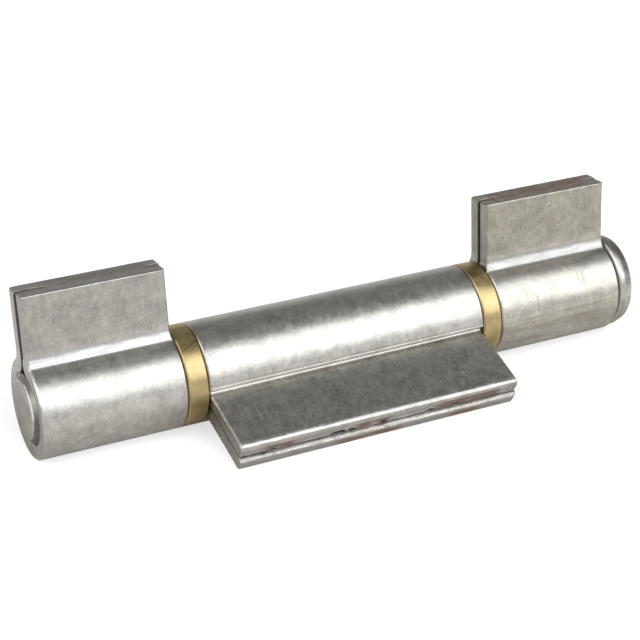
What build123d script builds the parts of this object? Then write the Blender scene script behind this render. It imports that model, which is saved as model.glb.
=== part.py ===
from build123d import *
from dataclasses import dataclass
from math import asin, atan2, cos, degrees, hypot, radians, sin, sqrt
import os

# Weld-on barrel hinge: three sheet-steel knuckles on one headed pin, with two brass washers.
#
# Each knuckle is one strip of steel sheet rolled round a mandrel. Its two ends are brought
# together as the plies of a double leaf, and the leaf is welded to a frame or a door.
#
# Units are millimetres. The origin lies on the pin's axis, at the middle of the centre knuckle.
# +X runs along the pin towards its head, and +Z is up. The hinge lies as it comes to rest:
# on its barrels and on the lower edge of the centre leaf, which points towards -Y.

# Sheet, pin and bore
SHEET = 3.0
PLY_GAP = 0.3
PIN_DIAMETER = 13.8
RUNNING_CLEARANCE = 0.1
BORE_RADIUS = PIN_DIAMETER / 2 + RUNNING_CLEARANCE
BARREL_RADIUS = BORE_RADIUS + SHEET
LEAF_HALF = SHEET + PLY_GAP / 2

# Reverse bend inside the neck, where the barrel turns into the leaf
BEND_RADIUS = 1.5
NECK_RADIUS = SHEET + BEND_RADIUS

# Lengths along the pin
CENTRE_LENGTH = 60.9
SIDE_LENGTH = 28.9
WASHER_THICKNESS = 4.2
END_PLAY = 0.15
PIN_END_PROUD = 0.9

# Pin head and pin end; the head stands this far inside the barrel's skin
HEAD_SETBACK = 0.2
HEAD_RADIUS = BARREL_RADIUS - HEAD_SETBACK
HEAD_THICKNESS = 3.6
HEAD_RIM_RADIUS = 1.4
HEAD_SEAT_CHAMFER = 0.5
PIN_END_CHAMFER = 0.3

# Broken edges
WASHER_CHAMFER = 0.3
SHEET_EDGE_CHAMFER = 0.3
PLY_CORNER_RADIUS = 0.8
PLY_CORNER_INSET = 0.7

# Groove pressed into each crease
CREASE_GROOVE_RADIUS = 0.15

# Ridge that the press raises beside each crease of the centre knuckle, out from its leaf's face
RIDGE_RADIUS = 0.4
RIDGE_HEIGHT = 0.06
RIDGE_RUN = 1.32

# Angle from the side leaves to the centre leaf, about the pin
SPREAD_ANGLE = 117.5


@dataclass(frozen=True)
class Tip:
    """Sheared tip of a ply; its reach is measured from the pin's axis.

    The rounds break its outer and inner corners. The shear may also draw the outer skin
    down by roll_drop over roll_length.
    """

    reach: float
    outer_round: float
    inner_round: float
    roll_length: float = 0.0
    roll_drop: float = 0.0


@dataclass(frozen=True)
class Fold:
    """Section of a knuckle, seen along the pin with its leaf pointing up.

    The back ply is on the +u side of the leaf's middle plane, the front ply on the -u side.
    The press's nose sets the crease crease_run out from the leaf's face and crease_depth
    below the barrel's skin, and any dent that it leaves there runs out as far as dent_run.
    From the crease to the flat of the leaf the skin rises by bend_rise.
    """

    front: Tip
    back: Tip
    crease_run: float
    crease_depth: float
    dent_run: float
    bend_rise: float


SIDE_FOLD = Fold(
    front=Tip(reach=23.4, outer_round=0.35, inner_round=0.15),
    back=Tip(reach=23.7, outer_round=0.5, inner_round=0.15),
    crease_run=0.95,
    crease_depth=0.0,
    dent_run=0.0,
    bend_rise=2.7,
)

CENTRE_FOLD = Fold(
    front=Tip(reach=23.3, outer_round=0.4, inner_round=1.0),
    back=Tip(reach=23.2, outer_round=1.0, inner_round=0.6, roll_length=2.0, roll_drop=0.45),
    crease_run=0.4,
    crease_depth=1.0,
    dent_run=1.3,
    bend_rise=0.72,
)


def polar(radius, angle):
    """Point at an angle in degrees from the leaf's direction, towards the back ply."""
    return (radius * sin(radians(angle)), radius * cos(radians(angle)))


def beside_leaf(radius, run):
    """Point at a radius from the pin's axis, run out from the face of the back ply."""
    across = LEAF_HALF + run
    return (across, sqrt(radius**2 - across**2))


def mirrored(point):
    """The same point on the other side of the leaf's middle plane."""
    return (-point[0], point[1])


def prism(face, length):
    """A section drawn in the plane across the pin, run out along the pin about the origin."""
    return extrude(Plane.YZ.offset(-length / 2) * face, length)


def rod(radius, length, place):
    """A round bar along the pin's direction, centred on a place in the section."""
    return Pos(0, *place) * Rot(Y=90) * Cylinder(radius, length)


def tube(length):
    """The rolled barrel as a full ring, with its end edges broken."""
    blank = Cylinder(BARREL_RADIUS, length) - Cylinder(BORE_RADIUS, length)
    return Rot(Y=90) * chamfer(blank.edges().filter_by(GeomType.CIRCLE), SHEET_EDGE_CHAMFER)


def crease_point(fold):
    """Where the outer skins of the barrel and of the back ply meet."""
    return beside_leaf(BARREL_RADIUS - fold.crease_depth, fold.crease_run)


def ply(fold, tip, length):
    """The back ply out to the leaf's middle plane, its root run on into the barrel's wall."""
    crease = crease_point(fold)
    flat_start = (LEAF_HALF, crease[1] + fold.bend_rise)
    run = crease[0] - LEAF_HALF
    bend = (run**2 + fold.bend_rise**2) / (2 * run)
    lean = asin(fold.bend_rise / bend)
    root = (crease[0] + SHEET / 2 * sin(lean), crease[1] - SHEET / 2 * cos(lean))
    flat_end = (LEAF_HALF, tip.reach - tip.roll_length)
    corner = (LEAF_HALF - tip.roll_drop, tip.reach)
    outline = [
        RadiusArc(crease, flat_start, bend),
        Line(flat_start, flat_end),
        Polyline(corner, (0, tip.reach), (0, root[1]), root, crease),
    ]
    if tip.roll_length:
        outline.append(TangentArc(flat_end, corner, tangent=(0, 1)))
    face = make_face(outline)
    tip_corner = face.vertices().sort_by_distance(Vector(*corner))[0]
    blank = prism(fillet(tip_corner, tip.outer_round), length)
    ends = blank.faces().sort_by(Axis.X)
    rims = ends[0].edges() + ends[-1].edges()
    shown = rims.filter_by(lambda edge: edge.center().Y > 0.01 and edge.center().Z > crease[1])
    return chamfer(shown, SHEET_EDGE_CHAMFER)


def dent(fold):
    """What the press's nose takes off the barrel's skin, from shoulder to shoulder."""
    floor = crease_point(fold)
    shoulder = beside_leaf(BARREL_RADIUS, fold.dent_run)
    beyond = (shoulder[0], BARREL_RADIUS + SHEET)
    half = [floor, shoulder, beyond]
    other_half = [mirrored(point) for point in reversed(half)]
    return make_face(Polyline(*half, *other_half, close=True))


def opening(fold):
    """The bore, the neck above it and the slot between the plies, flared at the ply tips."""
    half_gap = PLY_GAP / 2
    touch_radius = BORE_RADIUS + NECK_RADIUS
    touch_angle = degrees(asin((half_gap + NECK_RADIUS) / touch_radius))
    touch = polar(BORE_RADIUS, touch_angle)
    neck = (half_gap, touch_radius * cos(radians(touch_angle)))
    back, front = fold.back, fold.front
    top = front.reach + back.reach
    back_flare = (half_gap, back.reach - back.inner_round)
    back_lip = (half_gap + back.inner_round, back.reach)
    front_flare = (-half_gap, front.reach - front.inner_round)
    front_lip = (-half_gap - front.inner_round, front.reach)
    edges = [
        ThreePointArc(touch, (0, -BORE_RADIUS), mirrored(touch)),
        RadiusArc(touch, neck, NECK_RADIUS),
        Line(neck, back_flare),
        RadiusArc(back_flare, back_lip, back.inner_round),
        Polyline(back_lip, (back_lip[0], top), (front_lip[0], top), front_lip),
        RadiusArc(front_lip, front_flare, front.inner_round),
        Line(front_flare, mirrored(neck)),
        RadiusArc(mirrored(neck), mirrored(touch), NECK_RADIUS),
    ]
    return make_face(edges)


def corner_cutter(x, side, reach, direction):
    """Waste at one corner of a ply, outside the arc that rounds it off.

    x is the ply's end, side is -1 for the front ply or 1 for the back one, and direction
    is -1 for the left end or 1 for the right one. The arc meets both edges at a slight
    angle, as on a corner that has been knocked rather than ground round.
    """
    depth = SHEET + PLY_GAP
    middle = side * depth / 2
    waste = Pos(x, middle, reach) * Box(2 * PLY_CORNER_INSET, depth, 2 * PLY_CORNER_INSET)
    place = Pos(x - direction * PLY_CORNER_INSET, middle, reach - PLY_CORNER_INSET)
    kept = place * Rot(X=90) * Cylinder(PLY_CORNER_RADIUS, 2 * depth)
    return waste - kept


def knuckle(fold, length):
    """A rolled knuckle centred on the origin, with its leaf pointing up."""
    back = ply(fold, fold.back, length)
    front = mirror(ply(fold, fold.front, length), Plane.XZ)
    barrel = tube(length)
    if fold.crease_depth:
        barrel -= prism(dent(fold), 2 * length)
    body = barrel + back + front
    body -= prism(opening(fold), 2 * length)
    crease = crease_point(fold)
    for place in (crease, mirrored(crease)):
        body -= rod(CREASE_GROOVE_RADIUS, 2 * length, place)
    for direction in (-1, 1):
        for side, reach in ((-1, fold.front.reach), (1, fold.back.reach)):
            body -= corner_cutter(direction * length / 2, side, reach, direction)
    return body


def ridges(length):
    """The two ridges raised beside the creases of the centre knuckle."""
    ridge = beside_leaf(BARREL_RADIUS + RIDGE_HEIGHT - RIDGE_RADIUS, RIDGE_RUN)
    reach = length - 2 * SHEET_EDGE_CHAMFER
    return rod(RIDGE_RADIUS, reach, ridge) + rod(RIDGE_RADIUS, reach, mirrored(ridge))


def washer():
    """A turned brass thrust washer, centred on the origin."""
    ring = Cylinder(BARREL_RADIUS, WASHER_THICKNESS) - Cylinder(BORE_RADIUS, WASHER_THICKNESS)
    return Rot(Y=90) * chamfer(ring.edges().filter_by(GeomType.CIRCLE), WASHER_CHAMFER)


def pin(start, seat):
    """The pin from its plain end at start to the seat of its head, and the head beyond it."""
    shank_radius = PIN_DIAMETER / 2
    crown = seat + HEAD_THICKNESS
    rim_start = crown - HEAD_RIM_RADIUS
    rim_middle = polar(HEAD_RIM_RADIUS, 45)
    flat = Polyline(
        (crown, HEAD_RADIUS - HEAD_RIM_RADIUS),
        (crown, 0),
        (start, 0),
        (start, shank_radius - PIN_END_CHAMFER),
        (start + PIN_END_CHAMFER, shank_radius),
        (seat, shank_radius),
        (seat, HEAD_RADIUS - HEAD_SEAT_CHAMFER),
        (seat + HEAD_SEAT_CHAMFER, HEAD_RADIUS),
        (rim_start, HEAD_RADIUS),
    )
    rim = ThreePointArc(
        (rim_start, HEAD_RADIUS),
        (rim_start + rim_middle[0], HEAD_RADIUS - HEAD_RIM_RADIUS + rim_middle[1]),
        (crown, HEAD_RADIUS - HEAD_RIM_RADIUS),
    )
    return revolve(make_face([flat, rim]), Axis.X)


def resting_slope(fold):
    """Degrees that a leaf points below level when its lower tip and its barrel both touch down."""
    run = fold.front.reach - fold.front.outer_round
    rise = LEAF_HALF - fold.front.outer_round
    drop = BARREL_RADIUS - fold.front.outer_round
    return degrees(asin(drop / hypot(run, rise)) - atan2(rise, run))


centre_angle = 90 + resting_slope(CENTRE_FOLD)
side_angle = centre_angle - SPREAD_ANGLE
centre_end = CENTRE_LENGTH / 2
washer_middle = centre_end + END_PLAY + WASHER_THICKNESS / 2
side_start = centre_end + WASHER_THICKNESS + 2 * END_PLAY
side_middle = side_start + SIDE_LENGTH / 2
side_end = side_start + SIDE_LENGTH

side_knuckle = Rot(X=side_angle) * knuckle(SIDE_FOLD, SIDE_LENGTH)
nodes = {
    "centre_knuckle": Rot(X=centre_angle) * (knuckle(CENTRE_FOLD, CENTRE_LENGTH) + ridges(CENTRE_LENGTH)),
    "left_knuckle": Pos(X=-side_middle) * side_knuckle,
    "right_knuckle": Pos(X=side_middle) * side_knuckle,
    "left_washer": Pos(X=-washer_middle) * washer(),
    "right_washer": Pos(X=washer_middle) * washer(),
    "pin": pin(-side_end - PIN_END_PROUD, side_end + END_PLAY),
}

os.makedirs("parts", exist_ok=True)
for name, shape in nodes.items():
    export_step(shape, f"parts/{name}.step")
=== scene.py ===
import logging
import math
from dataclasses import dataclass, field
from enum import Enum
from typing import Sequence

import bmesh
import bpy
from mathutils import Matrix, Vector, noise


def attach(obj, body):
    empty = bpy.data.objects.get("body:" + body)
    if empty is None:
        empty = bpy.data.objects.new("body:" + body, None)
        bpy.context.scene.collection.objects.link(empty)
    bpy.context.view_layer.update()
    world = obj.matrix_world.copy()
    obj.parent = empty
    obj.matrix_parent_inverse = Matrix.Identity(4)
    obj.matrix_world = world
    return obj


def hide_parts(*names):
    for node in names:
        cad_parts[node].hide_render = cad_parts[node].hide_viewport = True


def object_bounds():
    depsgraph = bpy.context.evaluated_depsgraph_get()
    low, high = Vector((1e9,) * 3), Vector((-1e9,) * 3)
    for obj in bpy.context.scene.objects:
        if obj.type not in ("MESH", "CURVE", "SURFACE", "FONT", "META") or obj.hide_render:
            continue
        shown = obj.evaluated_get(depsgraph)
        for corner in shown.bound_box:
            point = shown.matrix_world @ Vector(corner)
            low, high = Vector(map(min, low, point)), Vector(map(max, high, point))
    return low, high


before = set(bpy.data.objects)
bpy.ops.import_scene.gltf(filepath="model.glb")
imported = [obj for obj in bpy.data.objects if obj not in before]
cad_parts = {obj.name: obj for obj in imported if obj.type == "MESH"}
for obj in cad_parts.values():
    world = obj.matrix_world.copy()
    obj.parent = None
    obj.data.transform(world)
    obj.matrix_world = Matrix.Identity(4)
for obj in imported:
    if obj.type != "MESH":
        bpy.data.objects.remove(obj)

# Looks of a weld-on barrel hinge: bare mill steel knuckles on a turned pin, with brass washers.
# Lengths are in metres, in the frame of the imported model: the origin is on the pin's axis at
# the middle of the centre knuckle, +X runs towards the pin's head and +Z is up.

MM = 0.001
LOG = logging.getLogger("barrel_hinge")
CAD_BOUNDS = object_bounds()


class Slot(Enum):
    """Names for material slots."""

    SHEET = "sheet_steel"
    PIN = "pin_steel"
    BRASS = "washer_brass"


Colour = tuple[float, float, float, float]
Place = tuple[float, float, float]
Range = tuple[float, float]
Socket, Tree = bpy.types.NodeSocket, bpy.types.NodeTree
Shape = bmesh.types.BMesh
ORIGIN: Place = (0.0, 0.0, 0.0)


def grey(level: float, warmth: float = 0.0) -> Colour:
    """A near-neutral colour; warmth shifts it from blue towards red."""
    return (level * (1 + warmth), level, level * (1 - warmth), 1.0)


# What discolours the steel, and the shade and highlights painted on it, from oil in the gaps to painted
# highlights.
# Oil with painted shade, darkening the gaps between the plies and under the pin's head.
OIL_AND_GAP_SHADE = grey(0.06, 0.12)
# Soot with painted shade, round the pin's plain end and above its face.
SOOT_AND_PAINTED_SHADE = grey(0.12, 0.10)
# Painted shade in the creases, on the knuckles' ends and tips, beside the pin's head and on its top; also the
# colour of the scratches.
SHADE_AND_SCRATCHES = grey(0.20, 0.06)
# Darkens the side leaves' tips.
TIP_DARKENING = grey(0.25, 0.14)
GRIME: Colour = (0.30, 0.25, 0.19, 1.0)
UMBER: Colour = (0.28, 0.20, 0.145, 1.0)
RUST: Colour = (0.16, 0.085, 0.055, 1.0)
EARTH: Colour = (0.20, 0.11, 0.055, 1.0)
# Scuffs, and painted highlights on the slot's edge, the barrels' rims and the pin's rim.
SCUFF_AND_HIGHLIGHT = grey(0.95)
# A painted highlight on the lip of the centre leaf's lower ply.
PAINTED_LIP_HIGHLIGHT = grey(0.85, 0.03)

# How a mark's pattern is drawn out along the pin, as the factors of its coordinates.
ROUND: Place = (1.0, 1.0, 1.0)
SLOW: Place = (0.5, 1.0, 1.0)
ALONG: Place = (0.2, 1.0, 1.0)
FLECKED: Place = (0.13, 1.0, 1.0)
WAVY: Place = (0.1, 1.0, 1.0)


class Nodes:
    """A shader node tree that is filled in one expression per node."""

    def __init__(self, tree: Tree) -> None:
        """Wrap a node tree.

        Args:
            tree: The tree to fill.
        """
        self.tree = tree

    def add(self, kind: str, **settings: object) -> bpy.types.Node:
        """Add a node and set its properties.

        Args:
            kind: The node's type name.
            **settings: Properties of the node, by name.

        Returns:
            The new node.
        """
        node = self.tree.nodes.new(kind)
        for name, value in settings.items():
            setattr(node, name, value)
        return node

    def feed(self, socket: Socket, value: object) -> None:
        """Link a socket to another one, or set its value.

        Args:
            socket: The input.
            value: The socket it is linked to, or its new value.
        """
        if isinstance(value, Socket):
            self.tree.links.new(value, socket)
        else:
            socket.default_value = value

    def math(self, operation: str, *values: object, clamp: bool = False) -> Socket:
        """A Math node's result.

        Args:
            operation: The Math node's operation.
            *values: Numbers or sockets, in the order of the node's inputs.
            clamp: Whether the result is kept between 0 and 1.

        Returns:
            The output socket.
        """
        node = self.add("ShaderNodeMath", operation=operation, use_clamp=clamp)
        for socket, value in zip(node.inputs, values):
            self.feed(socket, value)
        return node.outputs[0]

    def spread(
        self, value: object, low: object, high: object, to_low: float = 0.0, to_high: float = 1.0
    ) -> Socket:
        """A smooth step of a value from one range to another.

        Args:
            value: The socket to map.
            low: The value that gives to_low.
            high: The value that gives to_high.
            to_low: Result at and beyond low.
            to_high: Result at and beyond high.

        Returns:
            The output socket.
        """
        node = self.add("ShaderNodeMapRange", interpolation_type="SMOOTHSTEP")
        for socket, given in zip(node.inputs, (value, low, high, to_low, to_high)):
            self.feed(socket, given)
        return node.outputs[0]

    def blend(self, kind: str, factor: object, first: object, second: object) -> Socket:
        """Mix two colours.

        Args:
            kind: The blend type, such as MIX or MULTIPLY.
            factor: How much of the second colour there is.
            first: The first colour.
            second: The second colour.

        Returns:
            The output socket.
        """
        node = self.add("ShaderNodeMix", data_type="RGBA", blend_type=kind)
        self.feed(node.inputs["Factor"], factor)
        self.feed(node.inputs[6], first)
        self.feed(node.inputs[7], second)
        return node.outputs[2]

    def noise(
        self, vector: object, scale: object, detail: float = 2.0, roughness: float = 0.5
    ) -> Socket:
        """The value of a 3-D noise.

        Args:
            vector: Where it is read.
            scale: Its scale.
            detail: Octaves of finer noise.
            roughness: Strength of the finer octaves.

        Returns:
            The output socket, which stays near 0.5.
        """
        node = self.add("ShaderNodeTexNoise")
        self.feed(node.inputs["Vector"], vector)
        self.feed(node.inputs["Scale"], scale)
        self.feed(node.inputs["Detail"], detail)
        self.feed(node.inputs["Roughness"], roughness)
        return node.outputs[0]

    def centred(self, value: object) -> Socket:
        """A noise's value with its middle moved to nought."""
        return self.math("SUBTRACT", value, 0.5)

    def total(self, *terms: tuple[object, float]) -> Socket:
        """The weighted sum of several values.

        Args:
            *terms: Pairs of a socket and its weight.

        Returns:
            The output socket.
        """
        result = 0.0
        for value, weight in terms:
            result = self.math("MULTIPLY_ADD", value, weight, result)
        return result

    def mapped(
        self, vector: object, stretch: Place = ROUND, offset: Place = ORIGIN, turn: Place = ORIGIN
    ) -> Socket:
        """Coordinates scaled along the axes, turned about them and shifted, in that order.

        Args:
            vector: The coordinates.
            stretch: Factor for each axis.
            offset: Shift in metres.
            turn: Angle about each axis, in radians.

        Returns:
            The output socket.
        """
        node = self.add("ShaderNodeMapping")
        self.feed(node.inputs["Vector"], vector)
        self.feed(node.inputs["Scale"], stretch)
        self.feed(node.inputs["Rotation"], turn)
        self.feed(node.inputs["Location"], offset)
        return node.outputs[0]

    def axes(self, vector: object) -> bpy.types.NodeOutputs:
        """The parts of a vector.

        Args:
            vector: The vector.

        Returns:
            The outputs X, Y and Z, by name.
        """
        node = self.add("ShaderNodeSeparateXYZ")
        self.feed(node.inputs[0], vector)
        return node.outputs

    def group(self, tree: Tree, **values: object) -> bpy.types.NodeOutputs:
        """A node group's outputs.

        Args:
            tree: The group.
            **values: The inputs that are linked or set, by name.

        Returns:
            The outputs, by name.
        """
        node = self.add("ShaderNodeGroup", node_tree=tree)
        for title, value in values.items():
            self.feed(node.inputs[title], value)
        return node.outputs

    def finish(self, shader: bpy.types.Node, height: object) -> None:
        """Give the shader its relief and link it to the output.

        Args:
            shader: The Principled shader.
            height: The relief in metres.
        """
        bump = self.add("ShaderNodeBump")
        self.feed(bump.inputs["Strength"], 1.0)
        self.feed(bump.inputs["Distance"], 1.0)
        self.feed(bump.inputs["Height"], height)
        self.feed(shader.inputs["Normal"], bump.outputs[0])
        self.feed(self.add("ShaderNodeOutputMaterial").inputs[0], shader.outputs[0])


def new_material(name: str) -> tuple[bpy.types.Material, Nodes]:
    """Start a material.

    Args:
        name: The material's name.

    Returns:
        The material and its node tree, which is still empty.
    """
    material = bpy.data.materials.new(name)
    material.use_nodes = True
    material.node_tree.nodes.clear()
    return material, Nodes(material.node_tree)


class GroupMaker:
    """Builds a shader node group that puts out colours, masks and heights only."""

    def __init__(self, name: str, inputs: dict[str, object], outputs: dict[str, str]) -> None:
        """Start a group.

        Args:
            name: The group's name.
            inputs: Default value of each input; a number makes a float, a tuple a vector.
            outputs: Socket type of each output.
        """
        self.tree = bpy.data.node_groups.new(name, "ShaderNodeTree")
        for title, value in inputs.items():
            kind = "NodeSocketFloat" if isinstance(value, (int, float)) else "NodeSocketVector"
            socket = self.tree.interface.new_socket(title, in_out="INPUT", socket_type=kind)
            socket.default_value = value
        for title, kind in outputs.items():
            self.tree.interface.new_socket(title, in_out="OUTPUT", socket_type=kind)
        self.nodes = Nodes(self.tree)
        self.given = self.nodes.add("NodeGroupInput").outputs
        self.result = self.nodes.add("NodeGroupOutput").inputs


def mill_skin_group() -> Tree:
    """Rolled mill steel: clouds, a close grain, streaks across the pin and pores.

    Returns:
        A group with Tone, Warmth, Gloss and Pore masks and a Height in metres.
    """
    maker = GroupMaker(
        "mill_skin",
        {"Vector": ORIGIN, "Streak": 1.0, "Grain": 1.0, "Pores": 1.0},
        {title: "NodeSocketFloat" for title in ("Tone", "Warmth", "Gloss", "Pore", "Height")},
    )
    n, given, place = maker.nodes, maker.given, maker.given["Vector"]
    across = n.mapped(place, (1.0, 0.16, 0.16))
    warm_place = n.mapped(place, (1.0, 1.0, 0.8), (0.31, 0.12, 0.27))
    blotch_place = n.mapped(place, (1.0, 0.7, 0.7), (0.3, 0.1, 0.2))
    speck_place = n.mapped(place, (1.0, 0.7, 0.7), (0.7, 0.4, 0.9))
    cloud = n.centred(n.noise(place, scale=260.0, detail=5.0, roughness=0.62))
    warm = n.noise(warm_place, scale=420.0, detail=4.0, roughness=0.6)
    blotch = n.centred(n.noise(blotch_place, scale=900.0, detail=3.0, roughness=0.6))
    streak = n.centred(n.noise(across, scale=3400.0, detail=3.0, roughness=0.6))
    grain = n.centred(n.noise(place, scale=3600.0, detail=3.0, roughness=0.75))
    speck = n.noise(speck_place, scale=1500.0, detail=2.0, roughness=0.6)
    pore = n.math("MULTIPLY", n.spread(speck, 0.64, 0.80), given["Pores"])
    lines = n.math("MULTIPLY", streak, given["Streak"])
    close = n.math("MULTIPLY", grain, given["Grain"])
    tone = n.total((cloud, 1.25), (blotch, 1.0), (lines, 0.35), (close, 1.35))
    n.feed(maker.result["Tone"], n.math("ADD", tone, 0.5, clamp=True))
    n.feed(maker.result["Warmth"], n.spread(warm, 0.35, 0.68))
    gloss = n.total((blotch, 1.2), (lines, 0.4), (close, 1.0))
    n.feed(maker.result["Gloss"], n.math("ADD", gloss, 0.5, clamp=True))
    n.feed(maker.result["Pore"], pore)
    height = n.total((lines, 7.0e-6), (close, 9.0e-6), (blotch, 2.6e-5), (cloud, 1.6e-5), (pore, -1.0e-5))
    n.feed(maker.result["Height"], height)
    return maker.tree


def scratch_group() -> Tree:
    """Fine scratches: broken stretches of the thin lines between wide cells.

    Returns:
        A group with a Mask that is 1 in a scratch.
    """
    maker = GroupMaker(
        "scratches",
        {"Vector": ORIGIN, "Scale": 130.0, "Width": 0.02, "Amount": 0.5},
        {"Mask": "NodeSocketFloat"},
    )
    n, given = maker.nodes, maker.given
    cells = n.add("ShaderNodeTexVoronoi", feature="DISTANCE_TO_EDGE")
    n.feed(cells.inputs["Vector"], given["Vector"])
    n.feed(cells.inputs["Scale"], given["Scale"])
    line = n.math("LESS_THAN", cells.outputs["Distance"], given["Width"])
    gate = n.noise(given["Vector"], scale=700.0)
    opening = n.math("SUBTRACT", 0.75, n.math("MULTIPLY", given["Amount"], 0.3))
    n.feed(maker.result["Mask"], n.math("MULTIPLY", line, n.spread(gate, opening, 0.75)))
    return maker.tree


def colour_mark_group() -> Tree:
    """A ragged patch inside a box with soft edges.

    Returns:
        A group with a Mask that is 1 where the patch is.
    """
    maker = GroupMaker(
        "colour_mark",
        {
            **{title: ORIGIN for title in ("Vector", "Low", "High", "Soft")},
            "Stretch": ROUND, "Scale": 900.0, "Threshold": 0.5, "Edge": 0.05,
        },
        {"Mask": "NodeSocketFloat"},
    )
    n, given = maker.nodes, maker.given
    corners = [n.axes(given[title]) for title in ("Vector", "Low", "High", "Soft")]
    mask = 1.0
    for axis in "XYZ":
        place, low, high, soft = (corner[axis] for corner in corners)
        above = n.spread(place, low, n.math("ADD", low, soft))
        below = n.spread(place, high, n.math("SUBTRACT", high, soft))
        mask = n.math("MULTIPLY", mask, n.math("MULTIPLY", above, below))
    stretched = n.add("ShaderNodeVectorMath", operation="MULTIPLY")
    n.feed(stretched.inputs[0], given["Vector"])
    n.feed(stretched.inputs[1], given["Stretch"])
    ragged = n.noise(stretched.outputs[0], given["Scale"], detail=4.0, roughness=0.6)
    outside = n.math("SUBTRACT", given["Threshold"], given["Edge"])
    inside = n.math("ADD", given["Threshold"], given["Edge"])
    n.feed(maker.result["Mask"], n.math("MULTIPLY", mask, n.spread(ragged, outside, inside)))
    return maker.tree


@dataclass(frozen=True)
class ColourMark:
    """A patch of colour, in the leaf's frame and in millimetres; stains, wear, painted shade and painted
    highlights are all drawn with it.

    It lies in the box of the ranges x, y and z. cover is the share of that box that it fills,
    strength how much of the steel it hides, and dull how much of the steel's shine goes. soft
    is how far the box's sides fade, and scale, stretch and edge give the patch its outline.
    """

    x: Range
    y: Range
    z: Range
    colour: Colour
    cover: float = 1.0
    strength: float = 1.0
    dull: float = 0.8
    soft: float | Place = 0.25
    scale: float = 900.0
    stretch: Place = ROUND
    edge: float = 0.05

    def mask(self, n: Nodes, group: Tree, place: object) -> Socket:
        """Add the patch's mask to a material.

        Args:
            n: The material's nodes.
            group: The colour mark group.
            place: Coordinates in the leaf's frame.

        Returns:
            The mask, already weakened by the strength.
        """
        soft = self.soft if isinstance(self.soft, tuple) else (self.soft,) * 3
        low, high, fade = ([v * MM for v in row] for row in (*zip(self.x, self.y, self.z), soft))
        patch = n.group(
            group, Vector=place, Low=low, High=high, Soft=fade, Stretch=self.stretch,
            Scale=self.scale, Threshold=0.75 - 0.5 * self.cover, Edge=self.edge,
        )
        return n.math("MULTIPLY", patch["Mask"], self.strength)


@dataclass(frozen=True)
class Groups:
    """The node groups that the finishes share."""

    skin: Tree
    scratches: Tree
    colour_mark: Tree


@dataclass(frozen=True)
class MillSteel:
    """Bare rolled steel, as it comes from the press.

    leaf_degrees turns the pattern so that its Z axis runs along the leaf. From leaf_from to
    leaf_to, in millimetres out along it, the colour goes over to that of the leaf, which is
    the factor leaf of the barrel's. Each layer of fine scratches has its own turn about
    Y in degrees, scale and amount, and scratch_lean turns them all about X and Z, in radians.
    """

    name: str
    groups: Groups
    leaf_degrees: float = 0.0
    dark: Colour = grey(0.35)
    light: Colour = grey(0.69)
    tint: float = 0.035
    tint_swing: float = 0.012
    pore: Colour = grey(0.22, 0.06)
    gloss: Range = (0.29, 0.42)
    streak: float = 1.0
    grain: float = 1.0
    pores: float = 0.7
    leaf: Colour = grey(1.0)
    leaf_from: float = 11.0
    leaf_to: float = 13.0
    scratch_layers: tuple[Place, ...] = ((25.0, 120.0, 0.55), (70.0, 170.0, 0.45))
    scratch_width: float = 0.012
    scratch_stretch: Place = (1.0, 0.5, 0.35)
    scratch_lean: Range = (0.4, 0.7)
    scratched: Colour = grey(0.8)
    scratch_strength: float = 0.35
    scratch_depth: float = 6.0e-6
    colour_mark_roughness: float = 0.3
    colour_marks: tuple[ColourMark, ...] = ()

    def tinted(self, warmth: float) -> Colour:
        """White, warmed by the finish's own tint and a little more."""
        return (1.0 + (self.tint + warmth) / 2, 1.0, 1.0 - self.tint - warmth, 1.0)

    def build(self) -> bpy.types.Material:
        """Make the material.

        Returns:
            The material.
        """
        material, n = new_material(self.name)
        upright = (math.radians(-self.leaf_degrees), 0.0, 0.0)
        place = n.mapped(n.add("ShaderNodeTexCoord").outputs["Object"], turn=upright)
        skin = n.group(self.groups.skin, Vector=place, Streak=self.streak, Grain=self.grain, Pores=self.pores)
        layers = []
        for turned, scale, amount in self.scratch_layers:
            turn = (self.scratch_lean[0], math.radians(turned), self.scratch_lean[1])
            slanted = n.mapped(place, self.scratch_stretch, turn=turn)
            lines = {"Vector": slanted, "Scale": scale, "Width": self.scratch_width, "Amount": amount}
            layers.append(n.group(self.groups.scratches, **lines)["Mask"])
        scratch = n.math("MAXIMUM", *layers)
        cool, warm = self.tinted(-self.tint_swing), self.tinted(self.tint_swing)
        base = n.blend("MIX", skin["Tone"], self.dark, self.light)
        base = n.blend("MULTIPLY", 1.0, base, n.blend("MIX", skin["Warmth"], cool, warm))
        base = n.blend("MIX", skin["Pore"], base, self.pore)
        on_leaf = n.spread(n.axes(place)["Z"], self.leaf_from * MM, self.leaf_to * MM)
        base = n.blend("MULTIPLY", on_leaf, base, self.leaf)
        base = n.blend("MIX", n.math("MULTIPLY", scratch, self.scratch_strength), base, self.scratched)
        shine, roughness = 1.0, n.spread(skin["Gloss"], 0.0, 1.0, *self.gloss)
        for colour_mark in self.colour_marks:
            mask = colour_mark.mask(n, self.groups.colour_mark, place)
            base = n.blend("MIX", mask, base, colour_mark.colour)
            dulled = n.math("MULTIPLY", mask, colour_mark.dull)
            shine = n.math("SUBTRACT", shine, dulled, clamp=True)
            roughness = n.math("MULTIPLY_ADD", dulled, self.colour_mark_roughness, roughness)
        shader = n.add("ShaderNodeBsdfPrincipled")
        n.feed(shader.inputs["Base Color"], base)
        n.feed(shader.inputs["Metallic"], shine)
        n.feed(shader.inputs["Roughness"], roughness)
        n.finish(shader, n.total((skin["Height"], 1.0), (scratch, -self.scratch_depth)))
        return material


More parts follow.
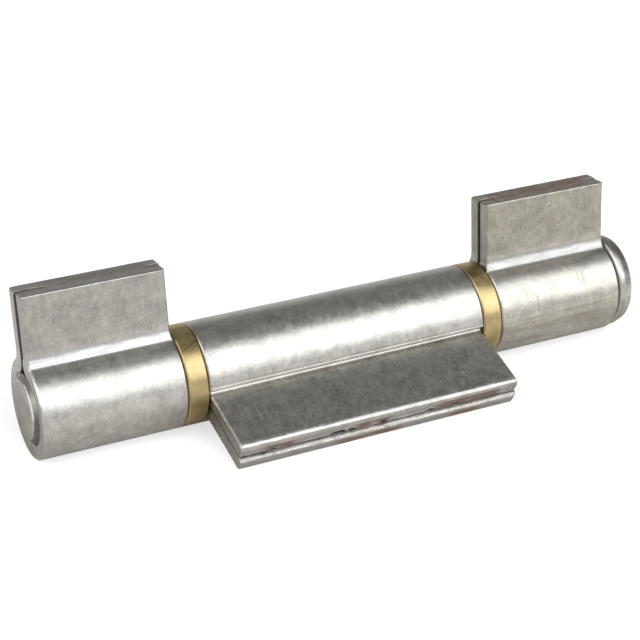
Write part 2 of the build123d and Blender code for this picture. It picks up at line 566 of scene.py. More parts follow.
@dataclass(frozen=True)
class TurnedBrass:
    """Brass bar, turned and parted off, with the tool's fine rings round it and one scratch.

    The scratch is where the plane with that normal, at that distance from the origin, cuts
    the upper side of a washer. Lengths are in millimetres, but the depth of the rings is in
    metres.
    """

    name: str
    dark: Colour = (0.44, 0.34, 0.165, 1.0)
    light: Colour = (0.55, 0.435, 0.225, 1.0)
    gloss: Range = (0.33, 0.40)
    ring_depth: float = 2.5e-6
    scratch_normal: Place = (0.493, -0.775, -0.401)
    scratch_distance: float = -16.2
    scratch_half_width: Range = (0.04, 0.17)
    scratch_heights: Range = (0.0, 4.0)
    scratch_strength: float = 0.75
    scratched: Colour = (0.20, 0.14, 0.055, 1.0)

    def build(self) -> bpy.types.Material:
        """Make the material.

        Returns:
            The material.
        """
        material, n = new_material(self.name)
        place = n.add("ShaderNodeTexCoord").outputs["Object"]
        rings = n.noise(n.mapped(place, (1.0, 0.03, 0.03)), scale=5200.0, detail=3.0, roughness=0.6)
        cloud = n.noise(place, scale=420.0, detail=3.0, roughness=0.6)
        tone = n.total((rings, 0.35), (cloud, 0.85))
        base = n.blend("MIX", n.spread(tone, 0.45, 0.75), self.dark, self.light)
        along_normal = n.add("ShaderNodeVectorMath", operation="DOT_PRODUCT")
        n.feed(along_normal.inputs[0], place)
        n.feed(along_normal.inputs[1], self.scratch_normal)
        past_plane = n.math("SUBTRACT", along_normal.outputs["Value"], self.scratch_distance * MM)
        sharp, faded = (width * MM for width in self.scratch_half_width)
        low, high = (height * MM for height in self.scratch_heights)
        line = n.spread(n.math("ABSOLUTE", past_plane), sharp, faded, 1.0, 0.0)
        upwards = n.spread(n.axes(place)["Z"], low, high, 0.0, self.scratch_strength)
        scratch = n.math("MULTIPLY", line, upwards)
        shader = n.add("ShaderNodeBsdfPrincipled")
        n.feed(shader.inputs["Base Color"], n.blend("MIX", scratch, base, self.scratched))
        n.feed(shader.inputs["Metallic"], 1.0)
        n.feed(shader.inputs["Roughness"], n.spread(cloud, 0.3, 0.7, *self.gloss))
        n.finish(shader, n.math("MULTIPLY", rings, self.ring_depth))
        return material


@dataclass
class CadPiece:
    """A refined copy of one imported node, which it replaces in the scene.

    It rides on the body that has the node's name. Edges sharper than crisp_degrees stay crisp,
    and points closer than merge_distance, in millimetres, are one.
    """

    node: str
    slot: Slot
    material: bpy.types.Material
    crisp_degrees: float = 28.0
    merge_distance: float = 0.0005
    seed: int = 7

    def build(self) -> bpy.types.Object:
        """Copy the node's mesh, refine it and dress it.

        Returns:
            The finished piece.
        """
        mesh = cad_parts[self.node].data.copy()
        mesh.materials.clear()
        shape = bmesh.new()
        shape.from_mesh(mesh)
        bmesh.ops.remove_doubles(shape, verts=shape.verts, dist=self.merge_distance * MM)
        noise.seed_set(self.seed)
        self.refine(shape)
        for face in shape.faces:
            face.smooth = True
        crisp = math.radians(self.crisp_degrees)
        for edge in shape.edges:
            edge.smooth = len(edge.link_faces) == 2 and edge.calc_face_angle() < crisp
        shape.to_mesh(mesh)
        shape.free()
        for name in [a.name for a in mesh.attributes if a.name == "custom_normal"]:
            mesh.attributes.remove(mesh.attributes[name])
        mesh.name = f"{self.node}_skin"
        piece = bpy.data.objects.new(f"{self.node}_skin", mesh)
        bpy.context.scene.collection.objects.link(piece)
        mesh.materials.append(self.material)
        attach(piece, self.node)
        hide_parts(self.node)
        weigh = piece.modifiers.new("flats_first", "WEIGHTED_NORMAL")
        weigh.keep_sharp = True
        LOG.info("%s: %d faces", piece.name, len(mesh.polygons))
        return piece

    def refine(self, shape: Shape) -> None:
        """Change the merged copy; the plain piece keeps it as it is."""


def cut(
    shape: Shape, faces: Sequence[bmesh.types.BMFace], place: Place, normal: Place, near: float
) -> None:
    """Cut some of a mesh's faces along a plane.

    Args:
        shape: The mesh.
        faces: The faces.
        place: A point of the plane.
        normal: The plane's normal.
        near: Points closer than this to the plane count as on it.
    """
    edges = {e for f in faces for e in f.edges}
    verts = {v for f in faces for v in f.verts}
    bmesh.ops.bisect_plane(shape, geom=[*verts, *edges, *faces], dist=near, plane_co=place, plane_no=normal)


@dataclass(frozen=True)
class Ramp:
    """A share that grows evenly, from 0 where it starts to 1 where it is full."""

    start: float
    full: float

    def at(self, value: float) -> float:
        """The share at a value."""
        return min(1.0, max(0.0, (value - self.start) / (self.full - self.start)))


@dataclass(frozen=True)
class Zone:
    """Where the tip of a leaf is worked: it takes hold out along the leaf and across it."""

    out: Ramp
    across: Ramp

    def at(self, place: Vector) -> float:
        """How strongly the point is worked, from 0 to 1."""
        return self.out.at(place.z) * self.across.at(place.y)


@dataclass(frozen=True)
class Pit:
    """A bite out of the seam between the plies: its place, length and depth in millimetres."""

    middle: float
    length: float
    depth: float

    def at(self, x: float) -> float:
        """How deep the bite is at a place along the pin."""
        return self.depth * max(0.0, 1.0 - abs(x - self.middle) / (self.length / 2)) ** 0.5


@dataclass
class Knuckle(CadPiece):
    """A rolled knuckle, worked over in the frame of its leaf.

    In that frame X runs along the pin, Y is across the leaf and Z runs out along it, so the
    back ply is at positive Y. Lengths are in millimetres from the pin's axis. The skew leans
    the leaf along the pin, and the trims draw the left and right ends of a ply inwards. The
    leaf's tip, beyond tip_from, is cut into uneven steps and roughened. slot_side is a little
    more than half of the slot between the plies, and left and right are the knuckle's ends.
    """

    leaf_degrees: float = 0.0
    skew: float = 0.0
    front_trims: Range = (0.0, 0.0)
    back_trims: Range = (0.0, 0.0)
    trim_run: Ramp = Ramp(1.6, 0.0)
    clear_of_barrel: Ramp = Ramp(9.0, 10.6)
    slot_side: float = 0.32
    tip_from: float = 22.4
    step: float = 0.9
    step_spread: Range = (0.7, 0.6)
    plain_ends: Range = (0.8, 0.7)
    roughness: float = 0.03
    rough_scale: float = 1.7
    rough_place: Place = (3.1, 7.7, 0.0)
    left: float = field(init=False)
    right: float = field(init=False)

    def refine(self, shape: Shape) -> None:
        """Turn the copy upright, work it over and turn it back.

        Args:
            shape: The knuckle, which is changed.
        """
        upright = Matrix.Rotation(math.radians(-self.leaf_degrees), 3, "X")
        bmesh.ops.rotate(shape, verts=shape.verts, cent=ORIGIN, matrix=upright)
        bmesh.ops.scale(shape, verts=shape.verts, vec=(1 / MM,) * 3)
        self.left, self.right = min(v.co.x for v in shape.verts), max(v.co.x for v in shape.verts)
        self.divide_tip(shape)
        for vert in shape.verts:
            self.work(vert.co)
            self.roughen(vert.co)
            self.lean(vert.co)
        bmesh.ops.scale(shape, verts=shape.verts, vec=(MM,) * 3)
        bmesh.ops.rotate(shape, verts=shape.verts, cent=ORIGIN, matrix=upright.inverted())

    def divide_tip(self, shape: Shape) -> None:
        """Cut the tips of the plies into short lengths, so that they can be made uneven.

        Args:
            shape: The knuckle, upright and in millimetres.
        """
        near = 1e-4
        tip = [f for f in shape.faces if max(v.co.z for v in f.verts) > self.tip_from]
        cut(shape, tip, (0, 0, self.tip_from), (0, 0, 1), near)
        x = self.left + self.plain_ends[0]
        while x < self.right - self.plain_ends[1]:
            tip = [f for f in shape.faces if min(v.co.z for v in f.verts) > self.tip_from - 0.01]
            cut(shape, tip, (x, 0, 0), (1, 0, 0), near)
            x += self.step * (self.step_spread[0] + self.step_spread[1] * noise.random())

    def work(self, place: Vector) -> None:
        """Move one point of the knuckle; a plain one stays as it is."""

    def roughen(self, place: Vector) -> None:
        """Push a point of the tip in, by up to twice the roughness.

        Args:
            place: The point, which is changed.
        """
        if place.z > self.tip_from + 0.1:
            push = noise.noise(place * self.rough_scale + Vector(self.rough_place))
            place.z -= self.roughness * (1 + push)

    def lean(self, place: Vector) -> None:
        """Draw the ends of the plies in, and set the leaf slightly out of square.

        Args:
            place: The point, which is changed.
        """
        trims = self.back_trims if place.y > 0 else self.front_trims
        inwards = trims[0] * self.trim_run.at(place.x - self.left)
        inwards -= trims[1] * self.trim_run.at(self.right - place.x)
        place.x += self.clear_of_barrel.at(place.z) * (self.skew * place.z + inwards)


@dataclass
class SideKnuckle(Knuckle):
    """An end knuckle, whose plies were sheared together so that their tips nearly touch.

    Only tip_gap of the slot is left there, between closed_left and closed_right, which are
    distances from its ends. The tips are flattened by level, and the slot gapes by slot_gape
    at the left end. The front ply keeps a squarer corner at its right end.
    """

    reach: float = 23.4
    leaf_from: float = 10.0
    tip_gap: float = 0.1
    closed_out: Ramp = Ramp(22.5, 22.8)
    closed_left: Ramp = Ramp(1.0, 5.0)
    closed_right: Ramp = Ramp(1.2, 3.0)
    slot_gape: float = 0.15
    gape_run: Ramp = Ramp(1.5, 0.0)
    level: float = 0.8
    level_side: float = 1.2
    level_depth: float = 0.9
    level_left: Ramp = Ramp(4.0, 7.0)
    level_right: Ramp = Ramp(1.5, 3.0)
    corner: float = 0.72
    squarer: float = 0.2

    def work(self, place: Vector) -> None:
        """Close the slot at the tips, open it at the left end and square one corner.

        Args:
            place: The point, which is changed.
        """
        from_left, from_right = place.x - self.left, self.right - place.x
        if abs(place.y) < self.slot_side and place.z > self.leaf_from:
            closed = self.closed_left.at(from_left) * self.closed_right.at(from_right)
            closed *= self.closed_out.at(place.z)
            place.y *= 1.0 - (1.0 - self.tip_gap) * closed
            if place.y < 0:
                place.y -= self.slot_gape * self.gape_run.at(from_left)
        if abs(place.y) < self.level_side and place.z > self.reach - self.level_depth:
            level = self.level * self.level_left.at(from_left) * self.level_right.at(from_right)
            place.z += level * (self.reach - place.z)
        if place.y < -0.05 and from_right < self.corner and place.z > self.reach - self.corner:
            place.x = self.right - from_right * self.squarer
            place.z = self.reach + (place.z - self.reach) * self.squarer


@dataclass
class CentreKnuckle(Knuckle):
    """The centre knuckle, whose rolled upper tip stands over a ragged seam.

    The roll lowers the upper ply's outer corner, its edge slants back by undercut towards the
    seam, and the lower ply's lip stands forward by lip. The seam is closed to that share of the
    gap, flatness takes out the start of the roll's curve, which has roll_radius, and delay
    moves it towards the tip. The creases beside the leaf's foot turn slightly along the pin.
    """

    seam: float = 0.45
    seam_from: float = 21.4
    face_side: float = 2.0
    flatness: float = 0.45
    roll_from: float = 21.2
    roll_radius: float = 4.67
    flat_end: Ramp = Ramp(23.1, 22.4)
    delay: float = 0.38
    delay_start: Ramp = Ramp(21.0, 22.0)
    delay_end: Ramp = Ramp(23.2, 22.6)
    undercut: float = 0.12
    undercut_zone: Zone = Zone(Ramp(21.6, 22.8), Ramp(2.1, 0.2))
    raggedness: float = 0.09
    upper_rag: Zone = Zone(Ramp(21.6, 22.4), Ramp(1.3, 0.4))
    lower_rag: Ramp = Ramp(-1.8, -0.6)
    lower_sway: Ramp = Ramp(-2.2, -1.0)
    pit_zone: Zone = Zone(Ramp(20.8, 22.4), Ramp(1.5, 0.5))
    pits: tuple[Pit, ...] = ()
    roll: float = 0.25
    roll_zone: Zone = Zone(Ramp(22.3, 23.1), Ramp(0.8, 2.0))
    lip: float = 0.66
    lip_zone: Zone = Zone(Ramp(21.4, 22.6), Ramp(-2.9, -0.1))
    crease_low: Range = (3.0, 7.9)
    crease_high: Range = (4.9, 9.3)
    crease_out: Ramp = Ramp(3.15, 4.5)
    crease_turn: float = 0.30
    crease_ease: float = 0.18
    crease_sway: float = 0.23

    def work(self, place: Vector) -> None:
        """Shape the tips of the plies and turn the creases.

        Args:
            place: The point, which is changed.
        """
        if place.z > self.tip_from + 0.05:
            self.shape_tip(place)
        beside_crease = self.crease_low[0] < place.y < self.crease_high[0]
        if beside_crease and self.crease_low[1] < place.z < self.crease_high[1]:
            along = place.x / self.right
            out = self.crease_out.at(place.y)
            place.y += self.crease_sway * out * along
            place.z -= (self.crease_turn - self.crease_ease * out) * along

    def shape_tip(self, place: Vector) -> None:
        """Close the seam, flatten and roll the upper ply, and stand the lower one forward.

        Args:
            place: The point, which is changed.
        """
        wave = noise.noise(Vector((place.x * 1.3, place.y * 2.0, 4.2)))
        fine = noise.noise(Vector((place.x * 3.1, 9.0, place.z)))
        if abs(place.y) < self.slot_side and place.z > self.seam_from:
            place.y *= self.seam
        if place.y > self.face_side:
            curve = max(0.0, place.z - self.roll_from) ** 2 / (2 * self.roll_radius)
            place.y += self.flatness * curve * self.flat_end.at(place.z)
            place.z += self.delay * self.delay_start.at(place.z) * self.delay_end.at(place.z)
        if place.y > 0:
            place.z -= self.undercut * self.undercut_zone.at(place)
            place.z -= self.raggedness * (0.4 + wave) * self.upper_rag.at(place)
            for pit in self.pits:
                place.z -= pit.at(place.x) * self.pit_zone.at(place)
            place.y -= self.roll * self.roll_zone.at(place)
        else:
            place.z += self.lip * self.lip_zone.at(place)
            place.z -= self.raggedness * (0.5 + wave + 0.4 * fine) * self.lower_rag.at(place.y)
            place.y += 0.5 * self.raggedness * fine * self.lower_sway.at(place.y)


@dataclass
class PinSkin(CadPiece):
    """The pin, with its plain end rounded over and its upset head a little out of true.

    Lengths are in millimetres. The end is rounded from end_round back along the pin, down to
    a flat of face_radius, and the head is head_growth wider and head_lift off centre. The
    head's rim is crowned: it falls away by head_crown on both sides of head_middle, which are
    head_half_length long. crown_cuts are the rings that the rim is divided into for it.
    """

    end_round: float = 0.95
    face_radius: float = 5.75
    face_depth: float = 0.05
    shoulder_depth: float = 0.5
    round_over: float = 0.42
    head_from: float = 63.95
    head_inner: float = 7.2
    head_radius: float = 9.8
    head_growth: float = 1.02
    head_lift: float = 0.42
    head_middle: float = 64.75
    head_half_length: float = 1.7
    head_crown: float = 0.34
    crown_run: Ramp = Ramp(9.0, 9.7)
    crown_cuts: tuple[float, ...] = (64.35, 64.7, 65.05, 65.4, 65.75, 66.05)

    def refine(self, shape: Shape) -> None:
        """Move the head out of true and round the plain end over.

        Args:
            shape: The pin, in metres.
        """
        for x in self.crown_cuts:
            rim = [f for f in shape.faces if min(v.co.x for v in f.verts) > self.head_from * MM]
            cut(shape, rim, (x * MM, 0, 0), (1, 0, 0), near=1e-7)
        self.swell_head(shape)
        self.round_end(shape)

    def swell_head(self, shape: Shape) -> None:
        """Widen the head, lift it off centre and crown its rim.

        Args:
            shape: The pin, in metres.
        """
        for vert in shape.verts:
            radius = math.hypot(vert.co.y, vert.co.z) / MM
            if vert.co.x > self.head_from * MM and radius > self.head_inner:
                off_middle = (vert.co.x / MM - self.head_middle) / self.head_half_length
                crown = self.head_crown / self.head_radius * min(1.0, off_middle**2)
                growth = self.head_growth - crown * self.crown_run.at(radius)
                vert.co.y *= growth
                vert.co.z = vert.co.z * growth + self.head_lift * MM

    def round_end(self, shape: Shape) -> None:
        """Turn the chamfer of the plain end into a round one.

        Args:
            shape: The pin, in metres.
        """
        end = min(v.co.x for v in shape.verts)
        off_axis = [v for v in shape.verts if math.hypot(v.co.y, v.co.z) > MM]
        face = [v for v in off_axis if v.co.x < end + self.face_depth * MM]
        shoulder = [v for v in off_axis if v.co.x < end + self.shoulder_depth * MM and v not in face]
        for vert in face:
            across = Vector((0.0, vert.co.y, vert.co.z)).normalized() * self.face_radius * MM
            vert.co.y, vert.co.z = across.y, across.z
        for vert in shoulder:
            vert.co.x = end + self.end_round * MM
        rims = {e for ring in (face, shoulder) for v in ring for e in v.link_edges if e.other_vert(v) in ring}
        least = math.radians(15)
        rims = [e for e in rims if len(e.link_faces) == 2 and e.calc_face_angle() > least]
        bmesh.ops.bevel(
            shape, geom=rims, offset=self.round_over * MM, offset_type="OFFSET", affect="EDGES",
            segments=4, profile=0.5, material=-1, clamp_overlap=True,
        )


@dataclass(frozen=True)
class Softbox:
    """A rectangular lamp that looks at the hinge."""

    name: str
    place: Place
    size: Range
    radiance: float
    roll_degrees: float = 0.0
    warmth: float = 0.0

    def build(self) -> bpy.types.Object:
        """Hang the lamp.

        Returns:
            The lamp's object.
        """
        light = bpy.data.lights.new(self.name, "AREA")
        light.shape = "RECTANGLE"
        light.size, light.size_y = self.size
        light.energy = self.radiance * math.pi * self.size[0] * self.size[1]
        light.color = grey(1.0, self.warmth)[:3]
        lamp = bpy.data.objects.new(self.name, light)
        lamp.location = self.place
        aim = -Vector(self.place)
        turn = Matrix.Rotation(math.radians(self.roll_degrees), 3, "Z")
        lamp.rotation_euler = (aim.to_track_quat("-Z", "Y").to_matrix() @ turn).to_euler()
        bpy.context.scene.collection.objects.link(lamp)
        return lamp


@dataclass
class Studio:
    """A pale floor, a pale room and soft lamps, with lengths in metres.

    The camera sees the floor brightened by glow and reflections by mirror_glow, but not right
    beside the hinge, where that glow is held back, painting the floor's shadow into its reflections: it fades
    in beside and beyond it.
    """

    floor_level: float
    floor_size: float = 6.0
    paper: Colour = grey(0.70, 0.03)
    glow: float = 0.64
    mirror_glow: float = 0.34
    fade_beside: Range = (0.010, 0.045)
    fade_beyond: Range = (0.066, 0.090)
    horizon_light: float = 0.95
    overhead_light: float = 0.30
    overhead_from: float = 0.50
    dim_side: Range = (0.50, 0.85)
    dim_share: float = 0.30
    lamps: tuple[Softbox, ...] = (
        Softbox("front_softbox", (0.31, -0.50, 0.50), (0.90, 0.71), 2.45, roll_degrees=-16.0, warmth=-0.03),
        Softbox("left_fill", (-0.90, -0.20, 0.70), (0.80, 0.80), 2.4),
    )

    def build(self) -> None:
        """Build the floor, the room's light and the lamps."""
        self.build_floor()
        self.build_room()
        for lamp in self.lamps:
            lamp.build()
        LOG.info("studio: floor, room and %d lamps", len(self.lamps))

    def build_floor(self) -> None:
        """Lay the floor under the hinge."""
        shape = bmesh.new()
        bmesh.ops.create_grid(shape, x_segments=8, y_segments=8, size=self.floor_size / 2)
        bmesh.ops.translate(shape, verts=shape.verts, vec=(0, 0, self.floor_level))
        mesh = bpy.data.meshes.new("studio_floor")
        shape.to_mesh(mesh)
        shape.free()
        floor = bpy.data.objects.new("studio_floor", mesh)
        bpy.context.scene.collection.objects.link(floor)
        mesh.materials.append(self.floor_paper())

    def floor_paper(self) -> bpy.types.Material:
        """Make the floor's material: paper that keeps the shadow, with a glow added.

        Returns:
            The material.
        """
        material, n = new_material("floor_paper")
        paper = n.add("ShaderNodeBsdfDiffuse")
        n.feed(paper.inputs["Color"], self.paper)
        glow = n.add("ShaderNodeEmission")
        n.feed(glow.inputs["Color"], grey(1.0))
        rays = n.add("ShaderNodeLightPath").outputs
        place = n.axes(n.add("ShaderNodeTexCoord").outputs["Object"])
        # Painted shadow: the glow in reflections is held back beside the hinge and fades in beside and beyond
        # it.
        beside = n.spread(n.math("ABSOLUTE", place["Y"]), *self.fade_beside)
        beyond = n.spread(n.math("ABSOLUTE", place["X"]), *self.fade_beyond)
        unshaded = n.math("MULTIPLY", n.math("MAXIMUM", beside, beyond), self.mirror_glow)
        mirrored = n.math("ADD", rays["Is Glossy Ray"], rays["Is Transmission Ray"], clamp=True)
        seen = n.math("MULTIPLY", mirrored, unshaded)
        n.feed(glow.inputs["Strength"], n.math("MULTIPLY_ADD", rays["Is Camera Ray"], self.glow, seen))
        both = n.add("ShaderNodeAddShader")
        n.feed(both.inputs[0], paper.outputs[0])
        n.feed(both.inputs[1], glow.outputs[0])
        n.feed(n.add("ShaderNodeOutputMaterial").inputs[0], both.outputs[0])
        return material

    def build_room(self) -> None:
        """Light the room: pale near the horizon, darker overhead, white behind the hinge."""
        world = bpy.data.worlds.new("room")
        bpy.context.scene.world = world
        world.use_nodes = True
        world.node_tree.nodes.clear()
        n = Nodes(world.node_tree)
        way = n.axes(n.add("ShaderNodeTexCoord").outputs["Generated"])
        level = n.spread(way["Z"], 0.0, self.overhead_from, self.horizon_light, self.overhead_light)
        level = n.math("MULTIPLY", level, n.spread(way["X"], *self.dim_side, 1.0, self.dim_share))
        room = n.add("ShaderNodeBackground")
        n.feed(room.inputs["Strength"], level)
        white = n.add("ShaderNodeBackground")
        n.feed(white.inputs["Color"], grey(1.0))
        both = n.add("ShaderNodeMixShader")
        n.feed(both.inputs[0], n.add("ShaderNodeLightPath").outputs["Is Camera Ray"])
        n.feed(both.inputs[1], room.outputs[0])
        n.feed(both.inputs[2], white.outputs[0])
        n.feed(n.add("ShaderNodeOutputWorld").inputs[0], both.outputs[0])


@dataclass(frozen=True)
class ViewCamera:
    """The camera, in front of the hinge and above its left end."""

    place: Place = (-0.14624, -0.27893, 0.18433)
    direction: Place = (0.3983, 0.7722, -0.4951)
    roll_degrees: float = 2.0
    lens: float = 101.2
    sensor_width: float = 36.0
    clip: Range = (0.01, 50.0)

    def build(self) -> bpy.types.Object:
        """Set the camera up.

        Returns:
            The camera's object.
        """
        data = bpy.data.cameras.new("view")
        data.lens = self.lens
        data.sensor_width = self.sensor_width
        data.clip_start, data.clip_end = self.clip
        camera = bpy.data.objects.new("view", data)
        level = Vector(self.direction).to_track_quat("-Z", "Y").to_matrix().to_4x4()
        turn = Matrix.Rotation(math.radians(self.roll_degrees), 4, "Z")
        camera.matrix_world = Matrix.Translation(self.place) @ level @ turn
        bpy.context.scene.collection.objects.link(camera)
        bpy.context.scene.camera = camera
        return camera


# Forward from upright to each leaf, in degrees, and the ranges of X that the leaves lie in.
CENTRE_DEGREES, SIDE_DEGREES = 107.749, -9.751
CENTRE_LEAF, SIDE_LEAVES = (-31.0, 31.0), (-65.0, 65.0)

# What marks the steels, stains and wear with painted shade and highlights among them: ranges of X, Y and Z,
# colour, cover, strength and dulling.
LINE = {"cover": 0.7, "strength": 0.35, "dull": 0.2, "soft": 0.2, "stretch": ALONG}
RUSTY = {"soft": (2.0, 0.25, 0.25), "scale": 520.0, "stretch": SLOW, "edge": 0.1}
SCRATCH = {"dull": 0.2, "scale": 1500.0}
STREAKS = {"soft": (1.0, 0.1, 0.8), "stretch": WAVY, "edge": 0.1}
UPPER_PLY, LOWER_PLY = (0.2, 2.0), (-3.0, -0.9)
UPPER_TIP, LOWER_TIP = (22.0, 24.0), (23.0, 24.2)
CENTRE_MARKS = (
    # Painted shade in the crease: the lines on both sides of it.
    ColourMark((-31, -2), (4.75, 5.25), (8.0, 9.3), SHADE_AND_SCRATCHES, **LINE),
    ColourMark((-2.5, 31), (4.85, 5.4), (8.0, 9.3), SHADE_AND_SCRATCHES, **LINE),
    ColourMark(CENTRE_LEAF, (3.3, 4.0), (8.0, 8.6), SHADE_AND_SCRATCHES, 0.7, 0.6, 0.3, soft=0.15, stretch=ALONG),
    # Oil with painted shade in the seam, painted shade on the lower tip and on the upper one, and a painted
    # highlight on the lip's edge.
    ColourMark(CENTRE_LEAF, (-0.5, 0.3), (21.8, 22.9), OIL_AND_GAP_SHADE, 0.55, 0.5, 0.5, soft=0.15, stretch=ALONG),
    ColourMark(CENTRE_LEAF, (-3.1, -0.85), (22.8, 24.2), SHADE_AND_SCRATCHES, 0.75, 0.5, 0.4, stretch=ALONG, edge=0.1),
    ColourMark(CENTRE_LEAF, (0.3, 2.1), (22.3, 24.2), SHADE_AND_SCRATCHES, 0.9, 0.42, 0.3, (0.3, 0.2, 0.3), 900.0, ALONG, 0.2),
    ColourMark(CENTRE_LEAF, (-0.7, 0.0), (22.6, 24.2), PAINTED_LIP_HIGHLIGHT, 0.62, 0.7, 0.0, 0.12, 1500.0, SLOW, 0.1),
    # Rust on the upper tip and earth on the lower one.
    ColourMark((-25.5, -17.5), UPPER_PLY, UPPER_TIP, RUST, 0.66, 0.8, **RUSTY),
    ColourMark((-6.0, 3.0), UPPER_PLY, UPPER_TIP, RUST, 0.7, 0.8, **RUSTY),
    ColourMark((11.5, 28.0), (0.2, 2.3), (21.6, 24.0), RUST, 0.72, 0.8, **RUSTY),
    ColourMark((-10.0, 6.0), LOWER_PLY, LOWER_TIP, EARTH, 0.7, 0.85, **RUSTY),
    ColourMark((15.0, 24.0), LOWER_PLY, LOWER_TIP, EARTH, 0.74, 0.85, **RUSTY),
    # Painted shade on the leaf's left end.
    ColourMark((-31, -29.6), (-3.3, 3.3), (9.0, 24.0), SHADE_AND_SCRATCHES, 0.52, 0.6, 0.4, scale=1600.0),
)
SIDE_MARKS = (
    # Painted shade in the crease, scuffs on the neck above it that add painted glints to its highlight, the
    # darkened tips, and oil with painted shade between them.
    ColourMark(SIDE_LEAVES, (-4.45, -3.85), (8.7, 9.35), SHADE_AND_SCRATCHES, 0.85, 0.75, 0.3, soft=0.15, stretch=ALONG),
    ColourMark(SIDE_LEAVES, (-4.2, -3.1), (9.2, 11.4), SCUFF_AND_HIGHLIGHT, 0.44, 0.6, 0.0, scale=1700.0, stretch=FLECKED),
    ColourMark(SIDE_LEAVES, (-2.9, 3.0), (23.1, 24.0), TIP_DARKENING, 0.8, 0.62, 0.3, stretch=SLOW, edge=0.15),
    ColourMark(SIDE_LEAVES, (-0.45, 0.3), (22.0, 24.0), OIL_AND_GAP_SHADE, 0.45, 0.7, 0.6, stretch=ALONG),
)
LEFT_MARKS = (
    *SIDE_MARKS,
    # The open end: oil with painted shade in the slot, a painted highlight on its edge and on the rim of the
    # barrel.
    ColourMark((-65, -63.3), (-0.3, 0.5), (8.0, 23.2), OIL_AND_GAP_SHADE, 0.8, 0.8, 0.6),
    ColourMark((-65, -63.3), (-0.75, -0.2), (9.8, 23.2), SCUFF_AND_HIGHLIGHT, 0.9, 0.6, 0.0, soft=0.1),
    ColourMark((-63.84, -63.3), (-9.6, -3.4), (3.4, 9.6), SCUFF_AND_HIGHLIGHT, 1.0, 0.9, 0.0, (0.12, 0.8, 0.8), edge=0.3),
    # Painted shade that dims the neck's highlight.
    ColourMark((-66, -34), (-5.6, -3.0), (8.8, 11.8), grey(0.36, 0.01), 0.9, 0.55, 0.0, (0.1, 0.1, 0.9), edge=0.2),
)
RIGHT_MARKS = (
    *SIDE_MARKS,
    # Rust on the tips, painted shade on the left end with oil and painted shade in its slot, and painted
    # shade that dims the neck's highlight.
    ColourMark((38, 61), (-2.6, 2.8), (23.1, 24.0), RUST, 0.55, 0.65, stretch=(0.4, 1.0, 1.0), edge=0.09),
    ColourMark((34.5, 35.7), (-3.05, 3.2), (9.0, 23.5), SHADE_AND_SCRATCHES, 0.95, 0.42, 0.2, stretch=(1.0, 1.0, 0.3)),
    ColourMark((34.5, 35.8), (-0.6, 0.5), (8.0, 23.2), OIL_AND_GAP_SHADE, 0.8, 0.8, 0.6),
    ColourMark((34, 66), (-5.6, -3.0), (8.6, 11.8), grey(0.32, 0.03), 0.9, 0.72, 0.0, (0.1, 0.1, 0.8), edge=0.2),
    # The barrel: painted shade beside the head, four scratches and the wavy streaks low down.
    ColourMark((63.4, 64.2), (-11, 11), (-11, 11), SHADE_AND_SCRATCHES, 0.8, 0.7, 0.3),
    ColourMark((43.5, 43.85), (-10.3, -9.0), (0.3, 4.0), SHADE_AND_SCRATCHES, 0.8, 0.6, soft=(0.1, 0.3, 0.4), **SCRATCH),
    ColourMark((54.3, 54.6), (-9.2, -7.4), (4.0, 6.8), SHADE_AND_SCRATCHES, 0.68, 0.6, soft=0.1, **SCRATCH),
    ColourMark((55.4, 55.7), (-9.2, -7.4), (4.0, 6.8), SHADE_AND_SCRATCHES, 0.68, 0.6, soft=0.1, **SCRATCH),
    ColourMark((55.9, 56.2), (-7.9, -5.6), (5.8, 8.4), SHADE_AND_SCRATCHES, 0.68, 0.5, soft=0.1, **SCRATCH),
    ColourMark((35, 62.5), (-10.3, -7.4), (-6.5, 0.4), UMBER, 0.52, 0.34, 0.2, scale=800.0, **STREAKS),
    ColourMark((35, 62.5), (-10.3, -7.4), (-6.5, 0.8), SCUFF_AND_HIGHLIGHT, 0.45, 0.12, 0.0, scale=1100.0, **STREAKS),
)
PIN_MARKS = (
    # The head: oil with painted shade under it, grime on its front, and painted shade on its top.
    ColourMark((63.9, 64.3), (-11, 11), (-11, 11), OIL_AND_GAP_SHADE, 0.9, 0.75, 0.5, soft=0.12),
    ColourMark((64.5, 67.2), (-11, 11), (-11, 1), GRIME, 0.6, 0.55, 0.3, scale=420.0, edge=0.12),
    ColourMark((64.5, 67.2), (-11, 11), (6, 11), SHADE_AND_SCRATCHES, 0.6, 0.4, 0.2, scale=420.0, edge=0.12),
    # The plain end: soot and painted shade round it and above its face, and a painted highlight on its rim.
    ColourMark((-64.6, -62), (-7.5, 7.5), (-9, 5), SOOT_AND_PAINTED_SHADE, 1.0, 1.0, 0.5, (0.12, 0.1, 4.0), edge=0.3),
    ColourMark((-64.62, -62), (-5.5, 5.5), (3.2, 9), SOOT_AND_PAINTED_SHADE, 1.0, 0.8, 0.4, (0.1, 3.0, 2.2), edge=0.3),
    ColourMark((-64.66, -64.36), (-7, -0.3), (0, 9), SCUFF_AND_HIGHLIGHT, 1.0, 0.9, 0.0, (0.06, 1.2, 2.0), edge=0.3),
)


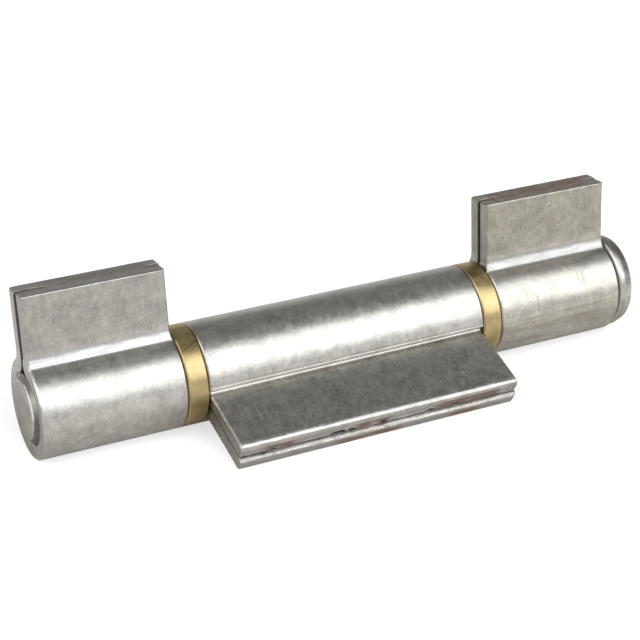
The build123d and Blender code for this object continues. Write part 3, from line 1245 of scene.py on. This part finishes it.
@dataclass(frozen=True)
class BarrelHinge:
    """The hinge: three knuckles on a pin, with a washer at each end of the centre one.

    The pits are the bites out of the centre leaf's seam.
    """

    groups: Groups
    pits: tuple[Pit, ...] = (
        Pit(-23.0, 1.0, 0.4), Pit(-10.4, 1.0, 0.5), Pit(-8.9, 1.4, 0.7), Pit(-6.6, 1.6, 0.5),
        Pit(0.4, 1.4, 0.6), Pit(11.0, 1.0, 0.6), Pit(16.8, 1.3, 0.6),
    )

    def build(self) -> None:
        """Build the finishes and every piece, from the centre knuckle outwards."""
        centre = MillSteel(
            "centre_sheet_steel", self.groups, leaf_degrees=CENTRE_DEGREES, tint=0.08,
            leaf=grey(0.86), colour_marks=CENTRE_MARKS,
        ).build()
        left = MillSteel(
            "left_sheet_steel", self.groups, leaf_degrees=SIDE_DEGREES, dark=grey(0.34),
            light=grey(0.68), tint=0.075, leaf=grey(0.80, 0.005), colour_marks=LEFT_MARKS,
        ).build()
        right = MillSteel(
            "right_sheet_steel", self.groups, leaf_degrees=SIDE_DEGREES, dark=grey(0.335),
            light=grey(0.645), tint=0.10, leaf=grey(0.745, 0.03), pores=1.0, colour_marks=RIGHT_MARKS,
        ).build()
        pin = MillSteel(
            "turned_steel", self.groups, streak=0.6, pores=0.4, tint=0.08, gloss=(0.27, 0.38),
            colour_marks=PIN_MARKS,
        ).build()
        brass = TurnedBrass("washer_brass_skin").build()
        pieces = (
            CentreKnuckle(
                "centre_knuckle", Slot.SHEET, centre, leaf_degrees=CENTRE_DEGREES, skew=0.031,
                tip_from=20.7, roughness=0.02, pits=self.pits,
            ),
            SideKnuckle(
                "left_knuckle", Slot.SHEET, left, leaf_degrees=SIDE_DEGREES, skew=-0.009,
                front_trims=(0.35, 0.2), back_trims=(0.05, 0.0),
            ),
            SideKnuckle(
                "right_knuckle", Slot.SHEET, right, leaf_degrees=SIDE_DEGREES, skew=0.014,
                front_trims=(0.35, 0.2), back_trims=(0.1, 0.0),
            ),
            PinSkin("pin", Slot.PIN, pin),
            CadPiece("left_washer", Slot.BRASS, brass),
            CadPiece("right_washer", Slot.BRASS, brass),
        )
        for piece in pieces:
            piece.build()


def main() -> None:
    """Build the hinge, the studio and the camera."""
    logging.basicConfig(level=logging.INFO, format="%(name)s: %(message)s")
    bpy.context.scene.view_settings.view_transform = "Standard"
    groups = Groups(mill_skin_group(), scratch_group(), colour_mark_group())
    BarrelHinge(groups).build()
    Studio(floor_level=CAD_BOUNDS[0][2]).build()
    ViewCamera().build()


if __name__ == "__main__":
    main()
